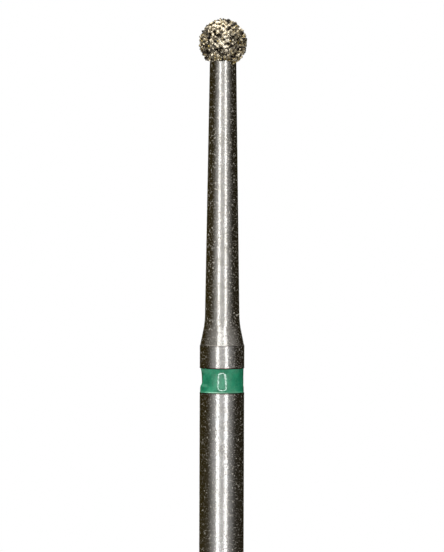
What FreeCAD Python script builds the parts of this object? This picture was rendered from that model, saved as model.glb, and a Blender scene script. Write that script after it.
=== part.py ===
import FreeCAD, Part

import itertools
import math
import os
import random

import Sketcher

# Round-headed diamond bur for a friction-grip chuck, in millimetres.
# The origin is the centre of the shank's flat end, and +Z runs up to the head.
DIMENSIONS = [
    # Straight shank that the chuck grips, from its end to the shoulder
    ("shank_diameter", 1.6, "ground diameter of the shank"),
    ("shank_length", 11.3, "from the flat end to the shoulder"),
    ("end_chamfer", 0.2, "chamfer round the flat end"),
    # Flare and tapered neck between the shoulder and the head
    ("flare_foot_diameter", 1.57, "flare where it meets the shoulder"),
    ("flare_length", 0.8, "height of the flare"),
    ("neck_base_diameter", 1.245, "neck at the top of the flare"),
    ("neck_tip_diameter", 0.93, "neck at the height of the ball's centre"),
    ("neck_blend_radius", 2.5, "blend between the flare and the neck"),
    # Ball-shaped head
    ("head_reach", 10.8, "from the shoulder to the ball's centre"),
    ("core_diameter", 1.38, "steel ball under the plating"),
    # Grit-colour band in its groove below the shoulder
    ("collar_height", 0.84, "from the shoulder down to the groove"),
    ("groove_width", 0.88, "height of the groove along the shank"),
    ("band_top_recess", 0.04, "enamel below the shank's surface at its top edge"),
    ("band_dish", 0.045, "how much deeper the enamel's face sinks than its top edge"),
    ("band_lip_height", 0.18, "enamel lip that climbs to the groove's lower edge"),
    ("band_thickness", 0.075, "enamel where it is thinnest"),
    # Nickel bond and the diamond grit seated in it
    ("bond_thickness", 0.1, "nickel plating round the ball"),
    ("grit_size", 0.16, "largest crystal from tip to tip"),
    ("grit_pitch", 0.18, "spacing of the crystals over the ball"),
    ("grit_gap", 0.004, "least gap between crystals"),
    ("grit_bed", 0.03, "nickel under each crystal"),
    ("grit_rise", 0.015, "how much higher the proudest crystal sits"),
]

# Crystals of the grit: uneven axes, as shares of the longest, and a random lean
SHORTEST_HALF_AXIS = 0.78
GREATEST_LEAN = 25
GRIT_SEED = 18

# A crystal that has no room is made smaller, step by step, and then left out
SHRINK = 0.94
SHRINK_TRIALS = 7

# The golden angle winds a spiral whose points lie evenly over a ball
GOLDEN_ANGLE = math.pi * (3 - math.sqrt(5))

# Area that each point of an even triangular spread takes, per pitch squared
SPREAD_AREA = math.sqrt(3) / 2

SAME_PLACE = 1e-6
UP = FreeCAD.Vector(0, 0, 1)

document = FreeCAD.newDocument("diamond_bur")
sheet = document.addObject("Spreadsheet::Sheet", "sizes")
for row, (alias, number, meaning) in enumerate(DIMENSIONS, start=1):
    sheet.set(f"A{row}", meaning)
    sheet.set(f"B{row}", str(number))
    sheet.setAlias(f"B{row}", alias)
document.recompute()


# Heights and radii that more than one feature is built from
SHANK_RADIUS = "sizes.shank_diameter / 2"
CORE_RADIUS = "sizes.core_diameter / 2"
BOND_RADIUS = "sizes.core_diameter / 2 + sizes.bond_thickness"
HEAD_HEIGHT = "sizes.shank_length + sizes.head_reach"
NECK_BASE_HEIGHT = "sizes.shank_length + sizes.flare_length"
GROOVE_TOP = "sizes.shank_length - sizes.collar_height"
GROOVE_FOOT = "sizes.shank_length - sizes.collar_height - sizes.groove_width"
BAND_LOW_RECESS = "sizes.band_top_recess + sizes.band_dish"
GROOVE_RADIUS = (
    "sizes.shank_diameter / 2 - sizes.band_top_recess - sizes.band_dish"
    " - sizes.band_thickness"
)


def size(expression):
    """Work out an expression of the sheet's sizes, in millimetres."""
    return float(sheet.evalExpression(expression))


def arc_level_with(start, end, height):
    """An arc from start to end whose centre lies at a given height."""
    rise = (end.y - height) ** 2 - (start.y - height) ** 2
    across = (end.x ** 2 - start.x ** 2 + rise) / (2 * (end.x - start.x))
    centre = FreeCAD.Vector(across, height, 0)
    middle_way = (start + end) * 0.5 - centre
    middle = centre + middle_way.normalize() * start.distanceToPoint(centre)
    return Part.Arc(start, middle, end)


def end_at(sketch, edge, corner):
    """Which end of a sketched edge, 1 or 2, lies at a corner."""
    return min((1, 2), key=lambda end: sketch.getPoint(edge, end).distanceToPoint(corner))


def hold(sketch, edge, end, name, direction, expression):
    """Hold one coordinate of a point: on an axis, or at a size from the sheet."""
    across = direction == "DistanceX"
    if expression == "0":
        axis = -2 if across else -1
        sketch.addConstraint(Sketcher.Constraint("PointOnObject", edge, end, axis))
        return
    rule = Sketcher.Constraint(direction, -1, 1, edge, end, size(expression))
    sketch.renameConstraint(sketch.addConstraint(rule), name)
    sketch.setExpression(f"Constraints.{name}", expression)


def draw_outline(sketch, corners, arcs, blends):
    """Draw a closed outline whose corners are held by sizes of the sheet.

    Each corner has a name, a distance from the axis and a height. arcs gives,
    for the edge that starts at a corner, the corner that the arc's centre is
    level with. Every other edge is straight. blends gives the radius that
    rounds a corner.
    """
    names = [name for name, across, height in corners]
    points = [FreeCAD.Vector(size(across), size(height), 0) for name, across, height in corners]
    edges = []
    for index, name in enumerate(names):
        start = points[index]
        end = points[(index + 1) % len(points)]
        if name in arcs:
            curve = arc_level_with(start, end, points[names.index(arcs[name])].y)
        else:
            curve = Part.LineSegment(start, end)
        edges.append(sketch.addGeometry(curve))
    ends = {}
    for index, (name, across, height) in enumerate(corners):
        before = edges[index - 1]
        after = edges[index]
        near = end_at(sketch, before, points[index])
        far = end_at(sketch, after, points[index])
        ends[name] = (after, far)
        sketch.addConstraint(Sketcher.Constraint("Coincident", before, near, after, far))
    for name, across, height in corners:
        hold(sketch, *ends[name], f"{name}_radius", "DistanceX", across)
        hold(sketch, *ends[name], f"{name}_height", "DistanceY", height)
    for name, level in arcs.items():
        arc = edges[names.index(name)]
        sketch.addConstraint(Sketcher.Constraint("Horizontal", arc, 3, *ends[level]))
    for name, radius in blends.items():
        arc = sketch.GeometryCount
        sketch.fillet(*ends[name], size(radius), True, True)
        rule = Sketcher.Constraint("Radius", arc, size(radius))
        sketch.renameConstraint(sketch.addConstraint(rule), f"{name}_blend")
        sketch.setExpression(f"Constraints.{name}_blend", radius)


def origin_plane(body, role):
    """One of a body's own origin planes, found by its role."""
    return next(plane for plane in body.Origin.OriginFeatures if plane.Role == role)


def turned_feature(body, kind, name, corners, arcs=None, blends=None):
    """Turn an outline on the body's XZ plane once round the body's own axis."""
    sketch = body.newObject("Sketcher::SketchObject", f"{name}_outline")
    sketch.AttachmentSupport = [(origin_plane(body, "XZ_Plane"), "")]
    sketch.MapMode = "FlatFace"
    draw_outline(sketch, corners, arcs or {}, blends or {})
    feature = body.newObject(kind, name)
    feature.Profile = sketch
    feature.ReferenceAxis = (sketch, ["V_Axis"])
    feature.Angle = 360
    document.recompute()
    return feature


def ring_edge(feature, radius, height):
    """The name of the round edge at a given radius and height."""
    for number, edge in enumerate(feature.Shape.Edges, start=1):
        if edge.Degenerated or not isinstance(edge.Curve, Part.Circle):
            continue
        off_radius = abs(edge.Curve.Radius - radius)
        off_height = abs(edge.Curve.Center.z - height)
        if max(off_radius, off_height) < SAME_PLACE:
            return f"Edge{number}"
    raise ValueError(f"{feature.Name} has no edge at radius {radius} and height {height}")


def build_steel_blank():
    """Turned steel blank: shank, flare, tapered neck and the ball of the head."""
    body = document.addObject("PartDesign::Body", "steel_blank")
    turned_feature(body, "PartDesign::Revolution", "shank_and_neck", [
        ("end_centre", "0", "0"),
        ("end_rim", SHANK_RADIUS, "0"),
        ("shoulder_rim", SHANK_RADIUS, "sizes.shank_length"),
        ("flare_foot", "sizes.flare_foot_diameter / 2", "sizes.shank_length"),
        ("neck_base", "sizes.neck_base_diameter / 2", NECK_BASE_HEIGHT),
        ("neck_tip", "sizes.neck_tip_diameter / 2", HEAD_HEIGHT),
        ("tip_centre", "0", HEAD_HEIGHT),
    ], blends={"neck_base": "sizes.neck_blend_radius"})
    ball = body.newObject("PartDesign::AdditiveSphere", "head_core")
    ball.setExpression("Radius", CORE_RADIUS)
    ball.setExpression("AttachmentOffset.Base.z", HEAD_HEIGHT)
    ball.AttachmentSupport = [(origin_plane(body, "XY_Plane"), "")]
    ball.MapMode = "FlatFace"
    document.recompute()
    groove = turned_feature(body, "PartDesign::Groove", "band_groove", [
        ("floor_foot", GROOVE_RADIUS, GROOVE_FOOT),
        ("rim_foot", SHANK_RADIUS, GROOVE_FOOT),
        ("rim_top", SHANK_RADIUS, GROOVE_TOP),
        ("floor_top", GROOVE_RADIUS, GROOVE_TOP),
    ])
    if groove.Shape.Volume >= ball.Shape.Volume:
        raise ValueError("the band's groove takes nothing away")
    chamfer = body.newObject("PartDesign::Chamfer", "end_bevel")
    chamfer.Base = (groove, [ring_edge(groove, size(SHANK_RADIUS), 0)])
    chamfer.setExpression("Size", "sizes.end_chamfer")
    document.recompute()
    return body


def build_colour_band():
    """Enamel band that fills the groove, with a hollow face and a raised lower lip."""
    body = document.addObject("PartDesign::Body", "colour_band")
    turned_feature(body, "PartDesign::Revolution", "enamel_ring", [
        ("floor_foot", GROOVE_RADIUS, "0"),
        ("lip_foot", SHANK_RADIUS, "0"),
        ("dish_low", f"{SHANK_RADIUS} - ({BAND_LOW_RECESS})", "sizes.band_lip_height"),
        ("face_top", f"{SHANK_RADIUS} - sizes.band_top_recess", "sizes.groove_width"),
        ("floor_top", GROOVE_RADIUS, "sizes.groove_width"),
    ], arcs={"lip_foot": "dish_low", "dish_low": "dish_low"})
    body.setExpression("Placement.Base.z", GROOVE_FOOT)
    document.recompute()
    return body


def neck_radius(depth):
    """Radius of the neck at a depth below the ball's centre."""
    tip = size("sizes.neck_tip_diameter / 2")
    base = size("sizes.neck_base_diameter / 2")
    return tip + (base - tip) * depth / size("sizes.head_reach - sizes.flare_length")


def crystal_centres(draw):
    """Centres of the crystals about the ball's centre, evenly spread and unevenly proud."""
    seat = size(f"{CORE_RADIUS} + sizes.grit_bed + sizes.grit_size / 2")
    count = round(4 * math.pi * seat ** 2 / (SPREAD_AREA * size("sizes.grit_pitch") ** 2))
    centres = []
    for index in range(count):
        height = 1 - (2 * index + 1) / count
        across = math.sqrt(1 - height ** 2)
        angle = index * GOLDEN_ANGLE
        outwards = FreeCAD.Vector(across * math.cos(angle), across * math.sin(angle), height)
        centres.append(outwards * (seat + draw.uniform(0, size("sizes.grit_rise"))))
    return centres


def crossed_half_axes(outwards, draw):
    """Three crossed half-axes of a crystal that leans at random from the ball's surface."""
    spin = FreeCAD.Rotation(UP, draw.uniform(0, 360))
    sideways = FreeCAD.Rotation(UP, draw.uniform(0, 360)).multVec(FreeCAD.Vector(1, 0, 0))
    lean = FreeCAD.Rotation(sideways, draw.uniform(0, GREATEST_LEAN))
    turn = FreeCAD.Rotation(UP, outwards).multiply(lean).multiply(spin)
    half = size("sizes.grit_size / 2")
    ways = (FreeCAD.Vector(1, 0, 0), FreeCAD.Vector(0, 1, 0), UP)
    return [turn.multVec(way) * half * draw.uniform(SHORTEST_HALF_AXIS, 1) for way in ways]


def reach_along(half_axes, way):
    """How far a crystal reaches from its centre along a way."""
    return max(abs(half_axis.dot(way)) for half_axis in half_axes)


def face_ways(half_axes):
    """The ways that a crystal's four pairs of parallel faces look."""
    first, second, third = half_axes
    pairs = itertools.product((second, second * -1), (third, third * -1))
    return [(one - first).cross(other - first) for one, other in pairs]


def stand_apart(crystal, other):
    """Whether a flat gap fits between two crystals, each a centre and its half-axes."""
    between = other[0] - crystal[0]
    for way in (between, *face_ways(crystal[1]), *face_ways(other[1])):
        reach = reach_along(crystal[1], way) + reach_along(other[1], way)
        if abs(between.dot(way)) > reach + size("sizes.grit_gap") * way.Length:
            return True
    return False


def clears_neck(centre, half_axes):
    """Whether a crystal stays outside the neck that leaves the ball."""
    if centre.z > 0:
        return True
    outwards = FreeCAD.Vector(centre.x, centre.y, 0)
    reach = reach_along(half_axes, outwards.normalize())
    depth = reach_along(half_axes, UP) - centre.z
    return math.hypot(centre.x, centre.y) > neck_radius(depth) + reach + size("sizes.grit_gap")


def fit_crystals():
    """Set a crystal at each centre, made smaller until it clears the neck and the others."""
    draw = random.Random(GRIT_SEED)
    near = size("sizes.grit_size + sizes.grit_gap")
    crystals = []
    for centre in crystal_centres(draw):
        half_axes = crossed_half_axes(centre, draw)
        others = [other for other in crystals if other[0].distanceToPoint(centre) < near]
        for trial in range(SHRINK_TRIALS):
            crystal = (centre, half_axes)
            if clears_neck(*crystal) and all(stand_apart(crystal, other) for other in others):
                crystals.append(crystal)
                break
            half_axes = [half_axis * SHRINK for half_axis in half_axes]
    return crystals


def crystal_solid(centre, half_axes):
    """An eight-sided crystal with a tip at both ends of each of its crossed axes."""
    tips = [(centre + half_axis, centre - half_axis) for half_axis in half_axes]
    faces = []
    for corners in itertools.product(*tips):
        faces.append(Part.Face(Part.makePolygon([*corners, corners[0]])))
    return Part.Solid(Part.Shell(faces))


def build_diamond_grit():
    """Crystals of the grit as separate solids, about the ball's centre."""
    grit = document.addObject("Part::Feature", "diamond_grit")
    grit.Shape = Part.makeCompound([crystal_solid(*crystal) for crystal in fit_crystals()])
    grit.setExpression("Placement.Base.z", HEAD_HEIGHT)
    document.recompute()
    return grit


def build_nickel_bond(steel_blank, diamond_grit):
    """Nickel plating over the ball, with a pocket round each crystal."""
    ball = document.addObject("Part::Sphere", "bond_ball")
    ball.setExpression("Radius", BOND_RADIUS)
    ball.setExpression("Placement.Base.z", HEAD_HEIGHT)
    plating = document.addObject("Part::Cut", "plating")
    plating.Base = ball
    plating.Tool = steel_blank
    bond = document.addObject("Part::Cut", "nickel_bond")
    bond.Base = plating
    bond.Tool = diamond_grit
    document.recompute()
    if bond.Shape.Volume >= plating.Shape.Volume:
        raise ValueError("the crystals cut no pockets in the bond")
    return bond


def check_document():
    """Stop if any object of the document failed to build."""
    for item in document.Objects:
        failed = [word for word in item.State if word in ("Invalid", "Error")]
        if failed:
            raise ValueError(f"{item.Name} is {failed[0]}")


def write_parts(pieces):
    """Check each sub-part's shape and write it to its own file."""
    os.makedirs("parts", exist_ok=True)
    for piece in pieces:
        shape = piece.Shape
        if shape.isNull() or not shape.isValid():
            raise ValueError(f"{piece.Label} has no valid shape")
    for piece in pieces:
        piece.Shape.exportStep(f"parts/{piece.Label}.step")
        print(f"{piece.Label}: {len(piece.Shape.Solids)} solids, {piece.Shape.Volume:.4f} mm3")


blank = build_steel_blank()
band = build_colour_band()
grit = build_diamond_grit()
bond = build_nickel_bond(blank, grit)
check_document()
write_parts([blank, band, bond, grit])
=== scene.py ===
"""Round-headed diamond bur with a green enamel band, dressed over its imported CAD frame.

The meshes are built in millimetres and brought to metres when they are finished.
+Z runs from the flat end of the shank up to the head, and the camera looks along +Y.
"""

from __future__ import annotations

import logging
import math
from dataclasses import dataclass, field
from enum import Enum
from itertools import product
from random import Random
from typing import Iterable, Sequence

import bmesh
import bpy
from mathutils import Matrix, Quaternion, Vector, geometry, kdtree

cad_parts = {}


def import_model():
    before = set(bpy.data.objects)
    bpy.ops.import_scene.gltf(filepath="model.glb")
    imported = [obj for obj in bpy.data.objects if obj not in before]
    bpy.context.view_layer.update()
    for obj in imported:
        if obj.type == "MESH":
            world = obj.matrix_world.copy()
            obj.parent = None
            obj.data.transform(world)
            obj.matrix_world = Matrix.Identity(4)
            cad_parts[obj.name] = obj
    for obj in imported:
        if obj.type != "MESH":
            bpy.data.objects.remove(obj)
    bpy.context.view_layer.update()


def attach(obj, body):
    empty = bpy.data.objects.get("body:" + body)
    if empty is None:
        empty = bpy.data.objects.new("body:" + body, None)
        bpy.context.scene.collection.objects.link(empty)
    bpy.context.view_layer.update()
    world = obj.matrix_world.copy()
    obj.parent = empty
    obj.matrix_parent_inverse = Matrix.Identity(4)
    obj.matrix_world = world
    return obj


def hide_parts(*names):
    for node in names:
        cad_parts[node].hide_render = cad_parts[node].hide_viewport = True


log = logging.getLogger("diamond_bur")

Colour = tuple[float, float, float]
Pair = tuple[float, float]
Outline = list[Pair]
Axes = tuple[Vector, ...]
Mesh = bmesh.types.BMesh
Item = bpy.types.Object
Material = bpy.types.Material
Node = bpy.types.Node
Socket = bpy.types.NodeSocket

MM = 0.001
GROOVE_FOOT = 9.6
GROOVE_TOP = 10.46
SHOULDER = 11.3
HEAD_HEIGHT = 22.1
TURN_STEPS = 128
STUDIO_STEPS = 64
CARD_MISSED_BY = ("camera", "diffuse", "shadow")
SAME_PLACE = 1e-4
WHITE: Colour = (1.0, 1.0, 1.0)
UP = Vector((0, 0, 1))
AXES = (Vector((1, 0, 0)), Vector((0, 1, 0)), UP)


class Role(Enum):
    """Name, CAD node and material slot of each piece, and the degrees above which it is sharp."""

    STEEL = ("turned_blank", "steel_blank", "ground_steel", 40)
    ENAMEL = ("enamel_ring", "colour_band", "green_enamel", 40)
    NICKEL = ("nickel_skin", "nickel_bond", "nickel_plating", 60)
    GRIT = ("crystals", "diamond_grit", "diamond", 1)


# Mesh tools


def turn_outline(outline: Outline) -> Mesh:
    """Turn an outline once round the Z axis.

    Args:
        outline: (radius, height) of each corner, in millimetres.

    Returns:
        The turned skin, with its seam and poles merged.
    """
    mesh = bmesh.new()
    corners = [mesh.verts.new((radius, 0, height)) for radius, height in outline]
    edges = [mesh.edges.new(pair) for pair in zip(corners, corners[1:])]
    bmesh.ops.spin(
        mesh, geom=corners + edges, cent=(0, 0, 0), axis=(0, 0, 1),
        angle=2 * math.pi, steps=TURN_STEPS, use_merge=True,
    )
    bmesh.ops.remove_doubles(mesh, verts=mesh.verts, dist=SAME_PLACE)
    bmesh.ops.recalc_face_normals(mesh, faces=mesh.faces)
    return mesh


def round_ring(mesh: Mesh, radius: float, height: float, width: float, segments: int) -> None:
    """Round the ring of edges at one radius and height.

    Args:
        mesh: the turned skin.
        radius: radius of the ring.
        height: height of the ring.
        width: how far the rounding reaches along each side.
        segments: facets across the rounding.
    """
    ring = [
        edge for edge in mesh.edges
        if all(
            math.dist((corner.co.xy.length, corner.co.z), (radius, height)) < SAME_PLACE
            for corner in edge.verts
        )
    ]
    if not ring:
        raise ValueError(f"no ring at radius {radius} and height {height}")
    bmesh.ops.bevel(
        mesh, geom=ring, offset=width, segments=segments, profile=0.5,
        affect="EDGES", material=-1, clamp_overlap=True,
    )


def cut_loops(mesh: Mesh, heights: Iterable[float]) -> None:
    """Cut level loops, which keep the shading of long walls apart from their rounded edges.

    Args:
        mesh: the turned skin.
        heights: height of each loop.
    """
    for height in heights:
        bmesh.ops.bisect_plane(
            mesh, geom=[*mesh.verts, *mesh.edges, *mesh.faces], dist=SAME_PLACE,
            plane_co=(0, 0, height), plane_no=(0, 0, 1),
        )


def arc_of_points(start: Pair, centre: Pair, degrees: float, steps: int) -> Outline:
    """Swing a point round a centre, as a run of outline corners.

    Args:
        start: first corner, as radius and height.
        centre: centre of the arc.
        degrees: angle of the swing, anticlockwise.
        steps: number of straight pieces.

    Returns:
        The corners from the start to the end of the arc.
    """
    arm = Vector(start) - Vector(centre)
    swings = (Matrix.Rotation(math.radians(degrees * step / steps), 2) for step in range(steps + 1))
    return [tuple(Vector(centre) + swing @ arm) for swing in swings]


def eased(value: float, low: float, high: float) -> float:
    """Share of the way from low to high, held between 0 and 1 and eased at both ends."""
    share = min(1.0, max(0.0, (value - low) / (high - low)))
    return share * share * (3 - 2 * share)


def link_mesh(mesh: Mesh, name: str, material: Material, sharp_above: float = 0) -> Item:
    """Bring a mesh to metres and link it to the scene as an object.

    Args:
        mesh: finished shape, in millimetres, which is freed here.
        name: name of the object and of its mesh.
        material: its only material.
        sharp_above: degrees above which a fold stays sharp, or 0 for flat faces.

    Returns:
        The object, at the origin.
    """
    bmesh.ops.scale(mesh, vec=(MM, MM, MM), verts=mesh.verts)
    limit = math.radians(sharp_above)
    for face in mesh.faces:
        face.smooth = limit > 0
    for edge in mesh.edges:
        edge.smooth = len(edge.link_faces) == 2 and edge.calc_face_angle(0) < limit
    data = bpy.data.meshes.new(name)
    mesh.to_mesh(data)
    mesh.free()
    data.materials.append(material)
    item = bpy.data.objects.new(name, data)
    bpy.context.scene.collection.objects.link(item)
    return item


# Node tools


class NodeTree:
    """Adds nodes to one shader tree and joins them."""

    def __init__(self, tree: bpy.types.NodeTree) -> None:
        """Take the tree to build in."""
        self.tree = tree

    def add(self, kind: str, settings: dict | None = None, **inputs: object) -> Node:
        """Add a node.

        Args:
            kind: node type, without the ShaderNode prefix.
            settings: attributes of the node itself.
            inputs: sockets by name, with _ for a space: a value, or a socket to join.

        Returns:
            The node.
        """
        node = self.tree.nodes.new(f"ShaderNode{kind}")
        for name, value in (settings or {}).items():
            setattr(node, name, value)
        for name, value in inputs.items():
            self.feed(node.inputs[name.replace("_", " ")], value)
        return node

    def feed(self, socket: Socket, value: object) -> None:
        """Give a socket a plain value, or join another socket to it.

        Args:
            socket: the input.
            value: a number, colour or vector, or an output socket.
        """
        if isinstance(value, Socket):
            self.tree.links.new(value, socket)
        elif isinstance(value, tuple) and socket.type == "RGBA":
            socket.default_value = (*value, 1)
        else:
            socket.default_value = value

    def maths(self, operation: str, *values: object, clamp: bool = False) -> Socket:
        """Add a Math node.

        Args:
            operation: what it does.
            values: numbers or sockets that it takes, in order.
            clamp: whether the result is held between 0 and 1.

        Returns:
            Its result.
        """
        node = self.add("Math", {"operation": operation, "use_clamp": clamp})
        for socket, value in zip(node.inputs, values):
            self.feed(socket, value)
        return node.outputs[0]

    def total(self, base: object, *terms: tuple[object, float], clamp: bool = False) -> Socket:
        """Add weighted values to a base.

        Args:
            base: number or socket that they are added to.
            terms: pairs of a value and its weight.
            clamp: whether each sum is held between 0 and 1.

        Returns:
            The last sum.
        """
        for value, weight in terms:
            base = self.maths("MULTIPLY_ADD", value, weight, base, clamp=clamp)
        return base

    def span(
        self, value: object, low: float, high: float, to_low: float = 0.0, to_high: float = 1.0
    ) -> Socket:
        """Map a value smoothly from one range to another.

        Args:
            value: number or socket to map.
            low, high: start and end of its range.
            to_low, to_high: results at the start and at the end.

        Returns:
            The mapped value.
        """
        node = self.add(
            "MapRange", {"interpolation_type": "SMOOTHSTEP"},
            Value=value, From_Min=low, From_Max=high, To_Min=to_low, To_Max=to_high,
        )
        return node.outputs[0]

    def blend(self, share: object, first: object, second: object, kind: str = "RGBA") -> Socket:
        """Blend two colours or two numbers.

        Args:
            share: 0 for the first and 1 for the second.
            first, second: what is blended, as plain values or sockets.
            kind: RGBA for colours, FLOAT for numbers.

        Returns:
            The blend.
        """
        ports = {"RGBA": (0, 6, 7, 2), "FLOAT": (0, 2, 3, 0)}[kind]
        node = self.add("Mix", {"data_type": kind})
        for port, value in zip(ports, (share, first, second)):
            self.feed(node.inputs[port], value)
        return node.outputs[ports[3]]

    def layers(self, colour: object, *coats: tuple[object, object]) -> Socket:
        """Lay coats over a ground colour.

        Args:
            colour: the ground colour.
            coats: share and colour of each coat, from the lowest up.

        Returns:
            The colour that shows.
        """
        for share, coat in coats:
            colour = self.blend(share, colour, coat)
        return colour

    def millimetres(self, stretch: tuple[float, float, float] = (1, 1, 1)) -> Socket:
        """Object coordinates in millimetres, stretched along the axes if asked."""
        place, scale = self.add("TexCoord").outputs["Object"], tuple(part / MM for part in stretch)
        return self.add("Mapping", Vector=place, Scale=scale).outputs[0]

    def noise(self, place: object, cells: object, detail: float, rough: float) -> Socket:
        """Noise from 0 to 1, at a scale in cells per millimetre."""
        node = self.add("TexNoise", Vector=place, Scale=cells, Detail=detail, Roughness=rough)
        return node.outputs["Fac"]

    def seen_rays(self) -> Socket:
        """Tell the rays that see a thing from the rays that light one.

        Returns:
            Mask of the camera, glossy and transmission rays.
        """
        rays = self.add("LightPath").outputs
        seen = self.maths("MAXIMUM", rays["Is Camera Ray"], rays["Is Glossy Ray"])
        return self.maths("MAXIMUM", seen, rays["Is Transmission Ray"])

    def grain(self, place: object, cells: float, glint_share: object) -> tuple[Socket, Socket, Socket]:
        """Lay the grain of a blasted or ground metal surface, with pale specks painted in as
        glints.

        Args:
            place: where it is looked up, in millimetres.
            cells: its scale, in cells per millimetre.
            glint_share: how much of it carries painted glint specks, from 0 to 1.

        Returns:
            Its painted glint specks, its dark pits and its height.
        """
        fine = self.noise(place, cells, detail=3.0, rough=0.7)
        coarse = self.noise(place, 0.35 * cells, detail=2.0, rough=0.6)
        cracks = self.add("TexVoronoi", {"feature": "F1"}, Vector=place, Scale=cells)
        edge = self.total(0.66, (glint_share, -0.4))
        glint_specks = self.add("MapRange", Value=fine, From_Min=edge, From_Max=0.68)
        pits = self.span(cracks.outputs["Distance"], 0.30, 0.12)
        return glint_specks.outputs[0], pits, self.total(fine, (coarse, 0.2), (pits, -0.5))

    def scratches(self, place: object, rarity: float) -> Socket:
        """Lay thin straight handling marks, which cross the surface at a slant.

        Args:
            place: where they are looked up, in millimetres.
            rarity: level of the noise at which a mark begins to show.

        Returns:
            Their mask.
        """
        turned = self.add("Mapping", Vector=place, Rotation=(0.5, 0.9, 0.3), Scale=(0.5, 9.0, 9.0))
        streak = self.noise(turned.outputs[0], 2.0, detail=2.0, rough=0.5)
        return self.add("MapRange", Value=streak, From_Min=rarity, From_Max=0.8).outputs[0]

    def dress(
        self, shader: Node, colour: object, rough: object,
        relief: object, depth: float, **plain: float,
    ) -> None:
        """Feed a Principled shader.

        Args:
            shader: the shader node.
            colour: its base colour.
            rough: its roughness.
            relief: height of its surface, from 0 to 1.
            depth: millimetres that a height of 1 stands for.
            plain: sockets that are the same everywhere, with _ for a space.
        """
        bump = self.add("Bump", Height=relief, Strength=1.0, Distance=depth * MM)
        self.feed(shader.inputs["Base Color"], colour)
        self.feed(shader.inputs["Roughness"], rough)
        self.feed(shader.inputs["Normal"], bump.outputs[0])
        for name, value in plain.items():
            shader.inputs[name.replace("_", " ")].default_value = value


def new_material(name: str) -> tuple[Material, NodeTree, Node]:
    """Make a material with a Principled shader.

    Args:
        name: name of the material.

    Returns:
        The material, its tree builder and its shader node.
    """
    material = bpy.data.materials.new(name)
    material.use_nodes = True
    shader = material.node_tree.nodes["Principled BSDF"]
    return material, NodeTree(material.node_tree), shader


def new_glow(name: str, colour: Colour, strength: float) -> tuple[Material, NodeTree, Node]:
    """Make a material that only gives off light.

    Args:
        name: name of the material.
        colour: colour of its light.
        strength: level of its light.

    Returns:
        The material, its tree builder and its Emission node.
    """
    material, tree, shader = new_material(name)
    tree.tree.nodes.remove(shader)
    glow = tree.add("Emission", Color=colour, Strength=strength)
    tree.feed(tree.tree.nodes["Material Output"].inputs["Surface"], glow.outputs[0])
    return material, tree, glow


# Finishes


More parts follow.
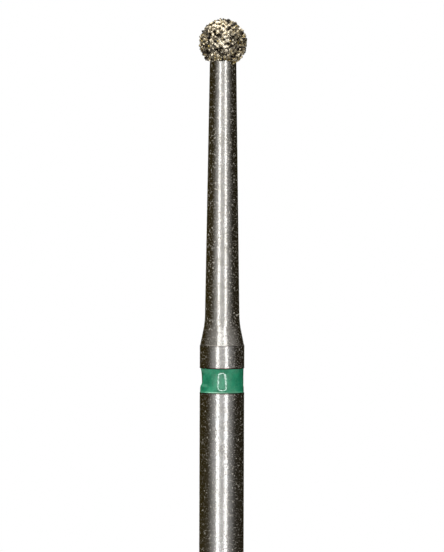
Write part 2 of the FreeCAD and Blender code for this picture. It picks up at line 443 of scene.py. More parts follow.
@dataclass(frozen=True)
class SteelFinish:
    """Ground shank and collar, blasted neck and flare."""

    bright: Colour = (0.62, 0.612, 0.605)
    sandy: Colour = (0.62, 0.608, 0.585)
    dark_tone: Colour = (0.24, 0.205, 0.14)
    # Pale colour of the painted glint specks, also used for the nick.
    glint_and_nick_colour: Colour = (0.88, 0.82, 0.70)
    # Colour of the painted shade lines round the steel.
    edge_shade_colour: Colour = (0.06, 0.03, 0.015)
    ground_cells: float = 14.0
    # Shares of painted glint specks: pale diffuse specks on the ground and the blasted steel, with
    # extra on the right side.
    ground_glint_share: float = 0.15
    glint_side_extra: float = 0.14
    glint_side_span: Pair = (0.15, 0.35)
    glint_side_foot: float = 10.3
    sandy_cells: float = 13.0
    sandy_glint_share: float = 0.20
    ring_cells: float = 34.0
    # Painted shade lines: along the collar's lower edge, just under the band and just below the
    # shoulder, each as height, core and strength.
    edge_shade_reach: float = 0.035
    edge_shade_lines: tuple[tuple[float, float, float], ...] = (
        (GROOVE_TOP + 0.01, 0.012, 1.0),
        (GROOVE_FOOT - 0.015, 0.015, 0.8),
        (SHOULDER - 0.025, 0.015, 0.25),
    )
    nick: Pair = (0.57, 12.39)
    nick_slope: float = 0.45
    nick_reach: Pair = (0.09, 0.05)
    nick_width: Pair = (0.028, 0.010)
    relief: float = 0.005

    def build(self) -> Material:
        """Make the finish.

        Returns:
            Its material.
        """
        material, tree, shader = new_material("ground_steel")
        place = tree.millimetres()
        across, depth, height = tree.add("SeparateXYZ", Vector=place).outputs
        blasted = tree.span(height, SHOULDER - 0.02, SHOULDER + 0.02)
        # Painted glints: more pale specks on the right side, from near the top of the band upwards.
        glint_side = tree.span(across, *self.glint_side_span)
        glint_side_share = tree.maths("MULTIPLY", glint_side, tree.span(height, self.glint_side_foot, GROOVE_TOP))
        glint_share = tree.total(self.ground_glint_share, (glint_side_share, self.glint_side_extra))
        ground = tree.grain(place, self.ground_cells, glint_share)
        sandy = tree.grain(place, self.sandy_cells, self.sandy_glint_share)
        pairs = zip(ground, sandy)
        glint_specks, pits, relief = (tree.blend(blasted, *pair, kind="FLOAT") for pair in pairs)
        drawn_out = tree.millimetres((0.02, 0.02, 1.0))
        rings = tree.noise(drawn_out, self.ring_cells, detail=2.0, rough=0.6)
        marks = tree.scratches(place, 0.72)
        cloud = tree.noise(place, 1.7, detail=3.0, rough=0.6)
        nick = self.nick_mask(tree, (across, depth, height))
        dark_tone_share = tree.total(tree.span(cloud, 0.3, 0.75, 0.0, 0.25), (pits, 0.6), clamp=True)
        colour = tree.layers(
            tree.blend(blasted, self.bright, self.sandy),
            (dark_tone_share, self.dark_tone),
            # painted glints: pale specks over the steel
            (tree.maths("MULTIPLY", glint_specks, 0.8), self.glint_and_nick_colour),
            # painted shade lines at the groove edges and below the shoulder
            *((self.line(tree, height, *line), self.edge_shade_colour) for line in self.edge_shade_lines),
            (nick, self.glint_and_nick_colour),
        )
        rough = tree.total(0.15, (pits, 0.2), (blasted, 0.03), (rings, 0.06), (marks, -0.1))
        tree.dress(shader, colour, rough, tree.total(relief, (rings, 0.25)), self.relief)
        # Painted glints and the nick are made less metallic, so they stay pale.
        glints_and_nick = tree.maths("ADD", glint_specks, nick, clamp=True)
        tree.feed(shader.inputs["Metallic"], tree.total(1.0, (glints_and_nick, -0.75)))
        return material

    def line(
        self, tree: NodeTree, height: object, level: float, core: float, strength: float
    ) -> Socket:
        """Mask of a narrow line of painted shade round the steel, at its full strength over its
        core.
        """
        off = tree.maths("ABSOLUTE", tree.maths("SUBTRACT", height, level))
        return tree.span(off, self.edge_shade_reach, core, 0.0, strength)

    def nick_mask(self, tree: NodeTree, place: Sequence[object]) -> Socket:
        """Mask one short slanting nick in the front of the neck.

        Args:
            tree: builder of the material.
            place: sockets of the place along X, Y and Z.

        Returns:
            The mask.
        """
        across, depth, height = place
        side, level = self.nick
        off = tree.maths("SUBTRACT", across, side)
        drift = tree.total(tree.maths("SUBTRACT", height, level), (off, -self.nick_slope))
        length = tree.span(tree.maths("ABSOLUTE", off), *self.nick_reach)
        width = tree.span(tree.maths("ABSOLUTE", drift), *self.nick_width)
        front = tree.span(depth, 0.05, -0.05)
        return tree.maths("MULTIPLY", tree.maths("MULTIPLY", length, width), front)


@dataclass(frozen=True)
class EnamelFinish:
    """Glossy baked enamel that lies unevenly in its groove."""

    body: Colour = (0.024, 0.34, 0.178)
    pale_green: Colour = (0.10, 0.46, 0.27)
    deep: Colour = (0.013, 0.235, 0.12)
    relief: float = 0.012

    def build(self) -> Material:
        """Make the finish.

        Returns:
            Its material.
        """
        material, tree, shader = new_material("green_enamel")
        place = tree.millimetres()
        height = tree.add("SeparateXYZ", Vector=place).outputs["Z"]
        cloud = tree.noise(place, 3.0, detail=3.0, rough=0.6)
        speck = tree.noise(place, 26.0, detail=2.0, rough=0.6)
        marks = tree.scratches(place, 0.66)
        colour = tree.layers(
            self.body,
            (tree.span(cloud, 0.35, 0.7), self.deep),
            (tree.span(speck, 0.5, 0.8, 0.0, 0.5), self.pale_green),
            # Paler green towards the foot of the band.
            (tree.span(height, GROOVE_FOOT + 0.07, GROOVE_FOOT + 0.02, 0.0, 0.75), self.pale_green),
            (tree.maths("MULTIPLY", marks, 0.7), self.deep),
        )
        rough = tree.total(0.045, (marks, 0.3), (tree.span(speck, 0.5, 0.8), 0.06))
        wave = tree.total(cloud, (speck, 0.02))
        tree.dress(shader, colour, rough, wave, self.relief, IOR=1.7, Specular_IOR_Level=1.0)
        return material


@dataclass(frozen=True)
class NickelFinish:
    """Electroplated nickel that creeps up round the crystals, with near-black patches of painted
    shade.
    """

    bright: Colour = (0.86, 0.77, 0.60)
    # Near-black: painted shade for the gaps between the crystals.
    dark_tone: Colour = (0.010, 0.006, 0.002)
    relief: float = 0.008

    def build(self) -> Material:
        """Make the finish.

        Returns:
            Its material.
        """
        material, tree, shader = new_material("nickel_plating")
        place = tree.millimetres()
        _, pits, relief = tree.grain(place, 24.0, 0.3)
        cloud = tree.noise(place, 6.0, detail=3.0, rough=0.6)
        # Painted shade: near-black patches over about half of the nickel and in its pits, darkening
        # the gaps between the crystals.
        dark_tone_share = tree.maths("ADD", tree.span(cloud, 0.46, 0.60), pits, clamp=True)
        colour = tree.blend(dark_tone_share, self.bright, self.dark_tone)
        rough = tree.total(0.08, (cloud, 0.2))
        tree.dress(shader, colour, rough, relief, self.relief, Metallic=1.0)
        return material


@dataclass(frozen=True)
class DiamondFinish:
    """Yellowish synthetic diamond, each face with its own tint."""

    pale: Colour = (0.98, 0.87, 0.65)
    straw: Colour = (0.60, 0.44, 0.11)
    olive: Colour = (0.012, 0.008, 0.002)
    attribute: str = "tint"
    relief: float = 0.013

    def build(self) -> Material:
        """Make the finish.

        Returns:
            Its material.
        """
        material, tree, shader = new_material("diamond")
        place = tree.millimetres()
        tint = tree.add("Attribute", {"attribute_name": self.attribute}).outputs["Fac"]
        marks = tree.scratches(place, 0.6)
        growth = tree.noise(place, 30.0, detail=3.0, rough=0.6)
        flaws = tree.noise(place, 15.0, detail=2.0, rough=0.6)
        flawed = tree.span(tint, 0.94, 0.97, 1.0, 0.0)
        veins = tree.maths("MULTIPLY", tree.span(growth, 0.55, 0.64, 0.0, 0.8), flawed)
        spots = tree.maths("MULTIPLY", tree.span(flaws, 0.56, 0.61, 0.0, 0.85), flawed)
        colour = tree.layers(
            self.olive,
            (tree.span(tint, 0.50, 0.56), self.straw),
            (tree.span(tint, 0.62, 0.70), self.pale),
            (veins, self.olive),
            (spots, self.olive),
            (tree.span(flaws, 0.42, 0.38, 0.0, 0.8), self.pale),
        )
        rough = tree.total(0.03, (tree.span(growth, 0.35, 0.7), 0.10), (marks, 0.2))
        relief = tree.total(flaws, (growth, 0.4))
        tree.dress(
            shader, colour, rough, relief, self.relief,
            IOR=2.42, Metallic=0.75, Transmission_Weight=0.2,
        )
        return material


# Sub-assemblies


class DressedPiece:
    """A sub-assembly that stands for one CAD node: each kind has a role, a finish and a shape."""

    role: Role
    finish: SteelFinish | EnamelFinish | NickelFinish | DiamondFinish

    def shape(self) -> Mesh:
        """Shape the mesh, in millimetres."""
        raise NotImplementedError

    def build(self) -> Item:
        """Shape and dress the piece, and let it stand for its CAD node.

        Returns:
            The piece, at the origin and riding on the part's only body.
        """
        name, node, slot, sharp_above = self.role.value
        piece = link_mesh(self.shape(), name, self.finish.build(), sharp_above)
        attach(piece, "root")
        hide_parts(node)
        return piece


@dataclass
class SteelBlank(DressedPiece):
    """Turned steel blank: shank, groove, collar, flare, tapered neck and core ball."""

    finish: SteelFinish = SteelFinish()
    role: Role = Role.STEEL
    shank_radius: float = 0.8
    chamfer: float = 0.2
    groove_radius: float = 0.64
    flare_radius: float = 0.785
    neck_foot: float = 12.1
    neck_radius: float = 0.6225
    tip_radius: float = 0.465
    core_radius: float = 0.69
    core_steps: int = 28
    break_width: float = 0.012
    break_steps: int = 3
    blend_width: float = 0.232
    blend_steps: int = 10
    loop_margin: float = 0.03

    def neck_radius_at(self, height: float) -> float:
        """Radius of the tapered neck at a height."""
        share = (height - self.neck_foot) / (HEAD_HEIGHT - self.neck_foot)
        return self.neck_radius + (self.tip_radius - self.neck_radius) * share

    def outline(self) -> Outline:
        """Draw the outline of the blank.

        Returns:
            Its corners, from the centre of the flat end to the top of the core.
        """
        depth = math.sqrt(self.core_radius**2 - self.tip_radius**2)
        joint = (self.neck_radius_at(HEAD_HEIGHT - depth), HEAD_HEIGHT - depth)
        swing = 180 - math.degrees(math.atan2(joint[0], depth))
        ball = arc_of_points(joint, (0.0, HEAD_HEIGHT), swing, self.core_steps)
        ball[-1] = (0.0, HEAD_HEIGHT + self.core_radius)
        return [
            (0.0, 0.0),
            (self.shank_radius - self.chamfer, 0.0),
            (self.shank_radius, self.chamfer),
            (self.shank_radius, GROOVE_FOOT),
            (self.groove_radius, GROOVE_FOOT),
            (self.groove_radius, GROOVE_TOP),
            (self.shank_radius, GROOVE_TOP),
            (self.shank_radius, SHOULDER),
            (self.flare_radius, SHOULDER),
            (self.neck_radius, self.neck_foot),
            *ball,
        ]

    def shape(self) -> Mesh:
        """Turn the blank and break its edges.

        Returns:
            Its mesh.
        """
        mesh = turn_outline(self.outline())
        for radius, height, width in (
            (self.shank_radius - self.chamfer, 0.0, self.break_width),
            (self.shank_radius, self.chamfer, self.break_width),
            (self.shank_radius, GROOVE_FOOT, self.break_width / 2),
            (self.shank_radius, GROOVE_TOP, self.break_width),
            (self.shank_radius, SHOULDER, self.break_width * 0.8),
        ):
            round_ring(mesh, radius, height, width, self.break_steps)
        round_ring(mesh, self.neck_radius, self.neck_foot, self.blend_width, self.blend_steps)
        margin = self.loop_margin
        cut_loops(mesh, (
            self.chamfer + margin, GROOVE_FOOT - margin, GROOVE_TOP + margin,
            SHOULDER - margin, SHOULDER + margin,
        ))
        return mesh


@dataclass
class EnamelBand(DressedPiece):
    """Enamel ring in the groove: a hollow face, and a lip that climbs to the lower edge.

    The face runs from the lip by a low point and a knee to the top, and the pulls bend it
    between these. The enamel has pooled low on both sides, and at full height on the right.
    """

    finish: EnamelFinish = EnamelFinish()
    role: Role = Role.ENAMEL
    floor_radius: float = 0.64
    foot: float = GROOVE_FOOT + 0.002
    top: float = GROOVE_TOP - 0.004
    lip_radius: float = 0.797
    lip_margin: float = 0.006
    face_margin: float = 0.01
    lip_pull: Pair = (0.752, 9.61)
    low: Pair = (0.722, 9.88)
    low_pulls: Pair = (9.76, 9.98)
    knee: Pair = (0.7315, 10.22)
    knee_pulls: tuple[Pair, Pair] = ((0.725, 10.14), (0.7363, 10.28))
    top_pull: Pair = (0.7345, 10.315)
    top_radius: float = 0.772
    face_steps: tuple[int, int, int] = (14, 12, 14)
    pool_foot: float = 9.79
    pool_top: float = 9.93
    pool_share: float = 0.85
    pool_sides: Pair = (0.55, 0.90)
    full_radius: float = 0.773
    full_sides: Pair = (0.60, 0.92)

    def outline(self) -> Outline:
        """Draw the outline of the ring.

        Returns:
            Its corners, from its floor by its glossy face back to its floor.
        """
        below, above = ((self.low[0], height) for height in self.low_pulls)
        lip, top = (self.lip_radius, self.foot), (self.top_radius, self.top)
        curves = (
            (lip, self.lip_pull, below, self.low),
            (self.low, above, self.knee_pulls[0], self.knee),
            (self.knee, self.knee_pulls[1], self.top_pull, top),
        )
        face = [lip]
        for curve, steps in zip(curves, self.face_steps):
            points = geometry.interpolate_bezier(*(Vector((*point, 0)) for point in curve), steps)
            face += [(point.x, point.y) for point in points[1:]]
        return [(self.floor_radius, self.foot), *face, (self.floor_radius, self.top)]

    def shape(self) -> Mesh:
        """Turn the ring, close it and let the enamel pool.

        Returns:
            Its mesh.
        """
        outline = self.outline()
        mesh = turn_outline([*outline, outline[0]])
        for corner in mesh.verts:
            self.thicken(corner)
        return mesh

    def thicken(self, corner: bmesh.types.BMVert) -> None:
        """Push a corner of the face out to where the enamel has pooled.

        Args:
            corner: corner of the turned ring.
        """
        radius = corner.co.xy.length
        margin = self.face_margin
        if radius < self.low[0] - margin or corner.co.z < GROOVE_FOOT + margin:
            return
        side = corner.co.x / radius
        low_share = self.pool_share * eased(corner.co.z, self.pool_top, self.pool_foot)
        low_share *= eased(abs(side), *self.pool_sides)
        low_pool = max(0.0, self.lip_radius - self.lip_margin - radius) * low_share
        full_share = eased(side, *self.full_sides)
        full_pool = max(0.0, self.full_radius - radius) * full_share
        corner.co.xy *= 1 + max(low_pool, full_pool) / radius


@dataclass(frozen=True)
class Crystal:
    """One crystal: its centre about the ball's centre, and its three half-axes."""

    centre: Vector
    half_axes: Axes


def random_turn(draw: Random) -> Quaternion:
    """Draw a turn, with every direction as likely."""
    return Quaternion([draw.gauss(0, 1) for _ in range(4)]).normalized()


def random_axes(draw: Random, turn: Quaternion, half: float, stretch: Pair) -> Axes:
    """Draw the half-axes of a turned crystal.

    Args:
        draw: source of the random factors.
        turn: turn of the crystal.
        half: half of its size.
        stretch: least and greatest factor for an axis.

    Returns:
        The three half-axes.
    """
    return tuple(turn @ axis * half * draw.uniform(*stretch) for axis in AXES)


@dataclass
class GritField:
    """Places of the crystals round the ball, drawn as the CAD model draws them."""

    seat: float = 0.80
    rise: float = 0.015
    size: float = 0.16
    pitch: float = 0.18
    shortest: float = 0.78
    greatest_lean: float = 25.0
    seed: int = 18
    crystals: list[Crystal] = field(default_factory=list)

    def __post_init__(self) -> None:
        """Draw the centres first, and then each crystal's turn and half-axes."""
        draw = Random(self.seed)
        centres = list(self.spread(draw))
        self.crystals = [self.crystal_at(centre, draw) for centre in centres]

    def spread(self, draw: Random) -> Iterable[Vector]:
        """Spread centres evenly over the ball, and unevenly proud of it.

        Args:
            draw: source of the random heights over the seat.

        Yields:
            Each centre, about the ball's centre.
        """
        count = round(4 * math.pi * self.seat**2 / (math.sqrt(3) / 2 * self.pitch**2))
        golden = math.pi * (3 - math.sqrt(5))
        for index in range(count):
            height = 1 - (2 * index + 1) / count
            across = math.sqrt(1 - height**2)
            angle = index * golden
            way = Vector((across * math.cos(angle), across * math.sin(angle), height))
            yield way * (self.seat + draw.uniform(0, self.rise))

    def crystal_at(self, centre: Vector, draw: Random) -> Crystal:
        """Turn one crystal at random and draw its half-axes.

        Args:
            centre: its centre, about the ball's centre.
            draw: source of the random turn and sizes.

        Returns:
            The crystal.
        """
        spin = Quaternion(UP, math.radians(draw.uniform(0, 360)))
        sideways = Quaternion(UP, math.radians(draw.uniform(0, 360))) @ AXES[0]
        lean = Quaternion(sideways, math.radians(draw.uniform(0, self.greatest_lean)))
        turn = UP.rotation_difference(centre.normalized()) @ lean @ spin
        return Crystal(centre, random_axes(draw, turn, self.size / 2, (self.shortest, 1)))


@dataclass
class NickelBond(DressedPiece):
    """Nickel skin over the ball, drawn up round each crystal."""

    grit: GritField
    finish: NickelFinish = NickelFinish()
    role: Role = Role.NICKEL
    radius: float = 0.78
    subdivisions: int = 6
    thickness: float = 0.085
    creep: float = 0.04
    reach: float = 0.085
    unevenness: float = 0.003
    cut_depth: float = 0.63
    seed: int = 7

    def shape(self) -> Mesh:
        """Raise the skin round the crystals, cut it open for the neck and thicken it.

        Returns:
            Its mesh.
        """
        mesh = bmesh.new()
        bmesh.ops.create_icosphere(mesh, subdivisions=self.subdivisions, radius=self.radius)
        centres = kdtree.KDTree(len(self.grit.crystals))
        for index, crystal in enumerate(self.grit.crystals):
            centres.insert(crystal.centre.normalized() * self.radius, index)
        centres.balance()
        draw = Random(self.seed)
        for corner in mesh.verts:
            gap = centres.find(corner.co)[2] / self.reach
            lift = self.creep * math.exp(-(gap**2))
            lift += draw.uniform(-self.unevenness, self.unevenness)
            corner.co *= 1 + lift / self.radius
        bmesh.ops.bisect_plane(
            mesh, geom=[*mesh.verts, *mesh.edges, *mesh.faces], dist=SAME_PLACE,
            plane_co=(0, 0, -self.cut_depth), plane_no=(0, 0, -1), clear_outer=True,
        )
        bmesh.ops.recalc_face_normals(mesh, faces=mesh.faces)
        bmesh.ops.solidify(mesh, geom=list(mesh.faces), thickness=self.thickness)
        bmesh.ops.translate(mesh, vec=UP * HEAD_HEIGHT, verts=mesh.verts)
        bmesh.ops.recalc_face_normals(mesh, faces=mesh.faces)
        return mesh


@dataclass
class DiamondGrit(DressedPiece):
    """Irregular crystals: one at each CAD place, chips in the gaps, and a few placed one by one."""

    grit: GritField
    finish: DiamondFinish = DiamondFinish()
    role: Role = Role.GRIT
    stand: Pair = (-0.03, 0.03)
    lost_share: float = 0.14
    lost_depth: float = 0.06
    dent: tuple[float, float, float] = (0.60, -0.02, 0.57)
    dent_reach: float = 0.17
    neck_clearance: float = 0.47
    neck_overlap: float = 0.4
    lowest: float = -0.67
    foot_overlap: float = 0.5
    chips: int = 440
    chip_sizes: Pair = (0.025, 0.048)
    chip_stretch: Pair = (0.6, 1.2)
    chip_seat: Pair = (0.79, 0.835)
    skirt: int = 26
    skirt_stray: float = 0.3
    skirt_radii: Pair = (0.53, 0.60)
    skirt_depths: Pair = (0.56, 0.62)
    skirt_sizes: Pair = (0.055, 0.08)
    tip_reach: Pair = (0.86, 1.0)
    corner_reach: Pair = (0.36, 0.62)
    tint_spread: float = 0.35
    blunt_spread: float = 0.04
    outer_radius: float = 0.898
    seed: int = 41

    def shape(self) -> Mesh:
        """Hull and tint each crystal.

        Returns:
            The mesh of the whole group.
        """
        draw = Random(self.seed)
        mesh = bmesh.new()
        tint = mesh.faces.layers.float.new(self.finish.attribute)
        for crystal in [*self.grit.crystals, *self.loose_chips(draw), *self.foot_row(draw)]:
            if self.clears_neck(crystal):
                moved = self.moved(crystal, draw)
                self.hull(mesh, moved, draw, tint, draw.random(), self.tint_spread)
        for blunt, shade in self.blunt_crystals():
            self.hull(mesh, blunt, draw, tint, shade, self.blunt_spread)
        bmesh.ops.translate(mesh, vec=UP * HEAD_HEIGHT, verts=mesh.verts)
        return mesh

    def clears_neck(self, crystal: Crystal) -> bool:
        """Find out whether a crystal sits outside the neck and above the foot of the plating.

        Args:
            crystal: the crystal at its CAD place.

        Returns:
            Whether it does, as all of the upper half of the ball does.
        """
        size = max(axis.length for axis in crystal.half_axes)
        centre = crystal.centre
        beside = centre.xy.length - self.neck_overlap * size > self.neck_clearance
        above = centre.z - self.foot_overlap * size > self.lowest
        return centre.z > 0 or (beside and above)

    def moved(self, crystal: Crystal, draw: Random) -> Crystal:
        """Make a crystal more or less proud, and sink it where the grit is worn away.

        Args:
            crystal: the crystal at its CAD place.
            draw: source of the random move.

        Returns:
            The crystal at its own height.
        """
        sunk = draw.random() < self.lost_share
        sunk = sunk or (crystal.centre - Vector(self.dent)).length < self.dent_reach
        move = 1 + draw.uniform(*self.stand) - self.lost_depth * sunk
        return Crystal(crystal.centre * move, crystal.half_axes)

    def loose_chips(self, draw: Random) -> Iterable[Crystal]:
        """Scatter small crystals over the ball.

        Args:
            draw: source of the random places, sizes and turns.

        Yields:
            Each chip.
        """
        for _ in range(self.chips):
            way = Vector([draw.gauss(0, 1) for _ in range(3)]).normalized()
            half = draw.uniform(*self.chip_sizes)
            half_axes = random_axes(draw, random_turn(draw), half, self.chip_stretch)
            yield Crystal(way * draw.uniform(*self.chip_seat), half_axes)

    def foot_row(self, draw: Random) -> Iterable[Crystal]:
        """Set a row of proud crystals round the foot of the plating.

        Args:
            draw: source of the random places, sizes and turns.

        Yields:
            Each crystal of the row.
        """
        for index in range(self.skirt):
            stray = draw.uniform(-self.skirt_stray, self.skirt_stray)
            angle = 2 * math.pi * (index + stray) / self.skirt
            radius, depth = draw.uniform(*self.skirt_radii), draw.uniform(*self.skirt_depths)
            half_axes = random_axes(draw, random_turn(draw), 1.0, self.skirt_sizes)
            centre = Vector((radius * math.cos(angle), radius * math.sin(angle), -depth))
            yield Crystal(centre, half_axes)

    @staticmethod
    def blunt_crystals() -> Iterable[tuple[Crystal, float]]:
        """Set broad worn crystals on the camera's side.

        Yields:
            Each crystal and its shade.
        """
        for centre, facing, across, along, thick, shade in (
            ((-0.18, -0.39, 0.73), (-0.18, -0.39, 0.73), 0.15, 0.10, 0.07, 1.0),
            ((-0.21, -0.58, 0.58), (-0.12, -0.73, 0.67), 0.14, 0.10, 0.045, 1.0),
            ((0.43, -0.42, -0.59), (0.43, -0.42, -0.59), 0.085, 0.085, 0.07, 1.0),
            ((0.42, -0.33, -0.745), (0.25, -0.95, 0.10), 0.11, 0.11, 0.07, 0.59),
        ):
            out = Vector(facing).normalized()
            side = UP.cross(out).normalized()
            half_axes = (side * across, out.cross(side) * along, out * thick)
            yield Crystal(Vector(centre), half_axes), shade

    def hull(
        self, mesh: Mesh, crystal: Crystal, draw: Random,
        tint: bmesh.types.BMLayerItem, shade: float, spread: float,
    ) -> None:
        """Wrap a crystal's tips and broken corners in flat faces.

        Args:
            mesh: the mesh that takes the crystal.
            crystal: its centre and half-axes.
            draw: source of the random shape.
            tint: face layer that takes its tint.
            shade: middle of the tints of its faces, dark at 0 and pale at 1.
            spread: how far the tint of a face may lie from the middle.
        """
        first, second, third = crystal.half_axes
        tips = [
            axis * side * draw.uniform(*self.tip_reach)
            for axis in crystal.half_axes for side in (-1, 1)
        ]
        corners = [
            (first * x + second * y + third * z) * draw.uniform(*self.corner_reach)
            for x, y, z in product((-1, 1), repeat=3)
        ]
        points = [crystal.centre + offset for offset in [*tips, *corners]]
        points = [point * min(1.0, self.outer_radius / point.length) for point in points]
        verts = [mesh.verts.new(point) for point in points]
        made = bmesh.ops.convex_hull(mesh, input=verts)
        for item in made["geom"]:
            if isinstance(item, bmesh.types.BMFace):
                item[tint] = min(1.0, max(0.0, shade + draw.uniform(-spread, spread)))
        spare = [item for item in made["geom_interior"] if isinstance(item, bmesh.types.BMVert)]
        bmesh.ops.delete(mesh, geom=spare, context="VERTS")


# Studio


def way_to(azimuth: float, elevation: float) -> Vector:
    """Find the way to a point of the sky.

    Args:
        azimuth: degrees anticlockwise from +X.
        elevation: degrees above the ground.

    Returns:
        The unit vector towards it.
    """
    turn, rise = math.radians(azimuth), math.radians(elevation)
    flat = math.cos(rise)
    return Vector((math.cos(turn) * flat, math.sin(turn) * flat, math.sin(rise)))


def aim(item: Item, place: Vector, way: Vector, roll: float = 0.0) -> None:
    """Put a camera or a lamp at a place and aim it.

    Args:
        item: the camera or the lamp.
        place: its place, in millimetres.
        way: unit vector along which it looks.
        roll: degrees that it turns about this way.
    """
    bpy.context.scene.collection.objects.link(item)
    item.location = place * MM
    item.rotation_mode = "QUATERNION"
    item.rotation_quaternion = way.to_track_quat("-Z", "Y") @ Quaternion(UP, math.radians(roll))


@dataclass
class Studio:
    """Camera, ring light, cards round the bur, soft lamps, floor and white surroundings."""

    target_side: float = -0.012
    target_height: float = 13.76
    frame_height: float = 19.75
    camera_lens: float = 400.0
    sensor: float = 36.0
    camera_elevation: float = 2.2
    camera_roll: float = 0.2
    ring_distance: float = 110.0
    ring_angles: Pair = (21.3, 26.8)
    ring_strength: float = 5.1
    tent_near: Colour = (0.76, 0.755, 0.75)
    tent_right_share: float = 0.8
    tent_left: Colour = (0.036, 0.0255, 0.004)
    tent_right: Colour = (0.019, 0.0143, 0.005)
    tent_low: Colour = (0.24, 0.23, 0.21)
    tent_radius: float = 400.0
    tent_middle: float = 0.3
    tent_back: float = 0.2
    tent_ease: float = 0.6
    tent_foot: float = -85.0
    tent_low_height: float = -50.0
    tent_head: float = 115.0
    strip_strength: float = 1.2
    card_tint: Colour = (1.0, 0.96, 0.9)
    lamp_height: float = 20.0
    fill_strength: float = 0.07
    floor_radius: float = 600.0
    floor_fade: Pair = (22.0, 44.0)
    floor_dark: Colour = (0.80, 0.80, 0.79)
    floor_light: Colour = (0.84, 0.84, 0.83)

    def build(self) -> None:
        """Put up the whole studio."""
        self.place_camera()
        self.hang_ring()
        self.set_tent()
        self.lay_floor()
        self.light_world()
        self.hang_lamps()

    def view_way(self) -> Vector:
        """Unit vector from the object towards the camera."""
        return way_to(-90, self.camera_elevation)

    def place_camera(self) -> None:
        """Aim a long lens at the bur from a little above."""
        data = bpy.data.cameras.new("camera")
        data.lens = self.camera_lens
        data.sensor_width = self.sensor
        data.clip_start, data.clip_end = 0.01, 10.0
        camera = bpy.data.objects.new("camera", data)
        distance = self.frame_height * self.camera_lens / self.sensor
        target = Vector((self.target_side, 0, self.target_height))
        aim(camera, target + self.view_way() * distance, -self.view_way(), self.camera_roll)
        bpy.context.scene.camera = camera

    @staticmethod
    def stage(mesh: Mesh, name: str, material: Material, missed_by: Sequence[str]) -> None:
        """Bring a studio item to metres and put it on the stage.

        Args:
            mesh: its shape, in millimetres.
            name: its name.
            material: its material.
            missed_by: kinds of rays that don't find it.
        """
        item = link_mesh(mesh, name, material)
        for rays in missed_by:
            setattr(item, f"visible_{rays}", False)

    def hang_ring(self) -> None:
        """Hang the ring light round the line of sight."""
        mesh = bmesh.new()
        for angle in self.ring_angles:
            radius = self.ring_distance * math.tan(math.radians(angle))
            bmesh.ops.create_circle(mesh, segments=STUDIO_STEPS, radius=radius)
        bmesh.ops.bridge_loops(mesh, edges=list(mesh.edges))
        turn = self.view_way().to_track_quat("Z", "Y").to_matrix().to_4x4()
        centre = UP * self.target_height + self.view_way() * self.ring_distance
        bmesh.ops.transform(mesh, matrix=Matrix.Translation(centre) @ turn, verts=mesh.verts)
        glow = new_glow("ring_glow", WHITE, self.ring_strength)[0]
        self.stage(mesh, "ring_light", glow, ("camera",))

    def wall(self, radius: float, start: float, sweep: float) -> Mesh:
        """Bend a card round the bur.

        Args:
            radius: its distance from the bur.
            start: angle of its first edge, anticlockwise from +X.
            sweep: angle that it takes.

        Returns:
            Its mesh.
        """
        mesh = bmesh.new()
        foot = mesh.verts.new((radius, 0, self.tent_foot))
        head = mesh.verts.new((radius, 0, self.tent_head))
        edge = mesh.edges.new((foot, head))
        turn = Matrix.Rotation(math.radians(start), 3, "Z")
        bmesh.ops.rotate(mesh, cent=(0, 0, 0), matrix=turn, verts=mesh.verts)
        bmesh.ops.spin(
            mesh, geom=[foot, head, edge], cent=(0, 0, 0), axis=(0, 0, 1),
            angle=math.radians(sweep), steps=STUDIO_STEPS,
        )
        return mesh

    def tent_glow(self) -> Material:
        """Grey beside the camera, and dark further round, darkest on the right.

        Returns:
            The material of the tent's wall.
        """
        material, tree, glow = new_glow("tent_glow", self.tent_near, 1.0)
        across, depth, height = tree.add("SeparateXYZ", Vector=tree.millimetres()).outputs
        radius = self.tent_radius
        side = tree.span(across, -self.tent_middle * radius, self.tent_middle * radius)
        near_right = tuple(self.tent_right_share * part for part in self.tent_near)
        near = tree.blend(side, self.tent_near, near_right)
        low = tree.span(height, self.tent_low_height, self.tent_foot)
        far = tree.blend(low, tree.blend(side, self.tent_left, self.tent_right), self.tent_low)
        share = tree.span(depth, -radius, -self.tent_back * radius)
        share = tree.maths("POWER", share, self.tent_ease)
        tree.feed(glow.inputs["Color"], tree.blend(share, near, far))
        return material

    def set_tent(self) -> None:
        """Stand cards round the bur, which the metal shows and the camera doesn't."""
        wall = self.wall(self.tent_radius, start=97, sweep=346)
        self.stage(wall, "tent_wall", self.tent_glow(), CARD_MISSED_BY)
        strip = self.wall(self.tent_radius / 2, start=78, sweep=24)
        glow = new_glow("strip_glow", WHITE, self.strip_strength)[0]
        self.stage(strip, "strip_back", glow, CARD_MISSED_BY)
        for name, side, height, radius, level in (
            ("card_under", 0.0, self.tent_foot, self.tent_radius, 0.20),
            ("card_over", 0.0, self.tent_head, self.tent_radius, 0.30),
            ("card_top", -32.0, self.tent_head - 1.0, 66.0, 2.6),
        ):
            mesh = bmesh.new()
            bmesh.ops.create_circle(mesh, cap_ends=True, segments=STUDIO_STEPS, radius=radius)
            bmesh.ops.translate(mesh, vec=(side, 0, height), verts=mesh.verts)
            glow = new_glow(name, self.card_tint, level)[0]
            self.stage(mesh, name, glow, CARD_MISSED_BY)

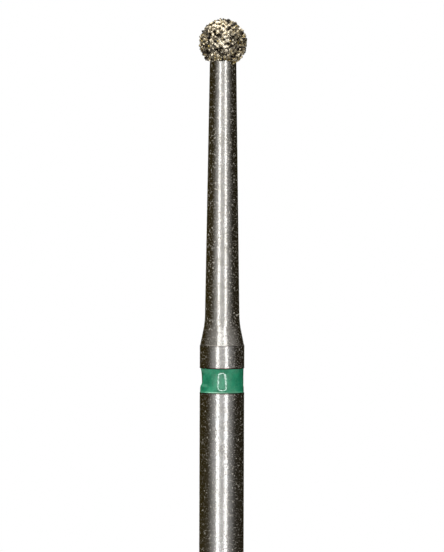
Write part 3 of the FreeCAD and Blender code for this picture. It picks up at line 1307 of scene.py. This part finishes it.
    def lay_floor(self) -> None:
        """Lay a pale floor that turns into the white surroundings away from the bur."""
        material, tree, shader = new_material("pale_floor")
        place = tree.millimetres()
        grain = tree.noise(place, 0.8, detail=3.0, rough=0.6)
        tree.feed(shader.inputs["Base Color"], tree.blend(grain, self.floor_dark, self.floor_light))
        shader.inputs["Roughness"].default_value = 0.8
        shader.inputs["Specular IOR Level"].default_value = 0.2
        away = tree.add("VectorMath", {"operation": "LENGTH"})
        tree.feed(away.inputs[0], place)
        fade = tree.span(away.outputs["Value"], *self.floor_fade)
        white = tree.add("Emission", Color=WHITE, Strength=1.0)
        mixed = tree.add("MixShader", Fac=tree.maths("MULTIPLY", tree.seen_rays(), fade))
        tree.feed(mixed.inputs[1], shader.outputs[0])
        tree.feed(mixed.inputs[2], white.outputs[0])
        tree.feed(tree.tree.nodes["Material Output"].inputs["Surface"], mixed.outputs[0])
        mesh = bmesh.new()
        radius = self.floor_radius
        bmesh.ops.create_circle(mesh, cap_ends=True, segments=STUDIO_STEPS, radius=radius)
        self.stage(mesh, "floor", material, ("glossy",))

    def light_world(self) -> None:
        """White surroundings for the eye and the metal, a soft fill for everything else."""
        world = bpy.data.worlds.new("surroundings")
        bpy.context.scene.world = world
        world.use_nodes = True
        tree = NodeTree(world.node_tree)
        fill = self.fill_strength
        strength = tree.add("MapRange", Value=tree.seen_rays(), To_Min=fill, To_Max=1.0)
        background = world.node_tree.nodes["Background"]
        tree.feed(background.inputs["Color"], WHITE)
        tree.feed(background.inputs["Strength"], strength.outputs[0])

    def hang_lamps(self) -> None:
        """Soft lamps above, in front on the left and behind on both sides."""
        for name, azimuth, elevation, distance, size, power in (
            ("lamp_top_left", 165, 74, 80, 20, 0.065),
            ("lamp_front_left", -102, 44, 60, 8, 0.018),
            ("lamp_back_left", 120, 40, 120, 40, 0.008),
            ("lamp_back_right", 60, 40, 120, 40, 0.008),
        ):
            data = bpy.data.lights.new(name, "AREA")
            data.shape = "DISK"
            data.size = size * MM
            data.energy = power
            lamp = bpy.data.objects.new(name, data)
            lamp.visible_glossy = False
            way = way_to(azimuth, elevation)
            aim(lamp, UP * self.lamp_height + way * distance, -way)


# Main


def main() -> None:
    """Load the frame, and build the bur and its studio."""
    logging.basicConfig(level=logging.INFO, format="%(name)s: %(message)s")
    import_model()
    bpy.context.scene.view_settings.view_transform = "Standard"
    grit = GritField()
    for sub_assembly in (SteelBlank(), EnamelBand(), NickelBond(grit), DiamondGrit(grit)):
        piece = sub_assembly.build()
        log.info("%s: %d faces", piece.name, len(piece.data.polygons))
    Studio().build()


if __name__ == "__main__":
    main()
